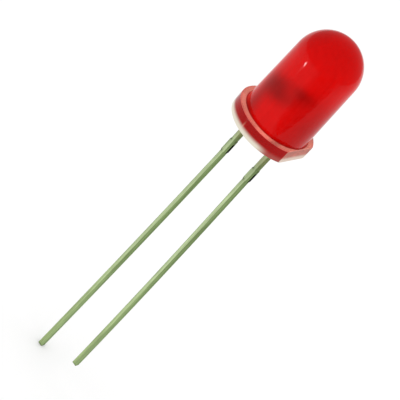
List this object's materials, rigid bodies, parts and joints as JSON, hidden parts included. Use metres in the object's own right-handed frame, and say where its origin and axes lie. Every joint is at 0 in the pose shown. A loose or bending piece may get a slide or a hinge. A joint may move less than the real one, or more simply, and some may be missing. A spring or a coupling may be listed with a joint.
{
  "type": "through hole led",
  "caption": "Red diffused through-hole LED: a domed round lens with a flatted flange, on long stamped leads of unequal length.",
  "frame": {"origin": "middle of the flange's underside, midway between the leads, where the LED sits on a board", "axes": "+Z along the lens's axis, towards the dome; +X towards the flange's flat and the short lead; the leads run along -Z"},
  "size_m": [0.0056, 0.006, 0.0353],
  "materials": {
    "red_epoxy": "polished, diffused red",
    "tinned_steel": "dull tin plate",
    "semiconductor": "sawn crystal",
    "silver_glue": "dull silver-filled",
    "gold": "drawn"
  },
  "bodies": {
    "root": {"lens": "red_epoxy", "long_lead": "tinned_steel", "short_lead": "tinned_steel", "chip": "semiconductor", "die_glue": "silver_glue", "bond_wire": "gold"}
  },
  "joints": []
}
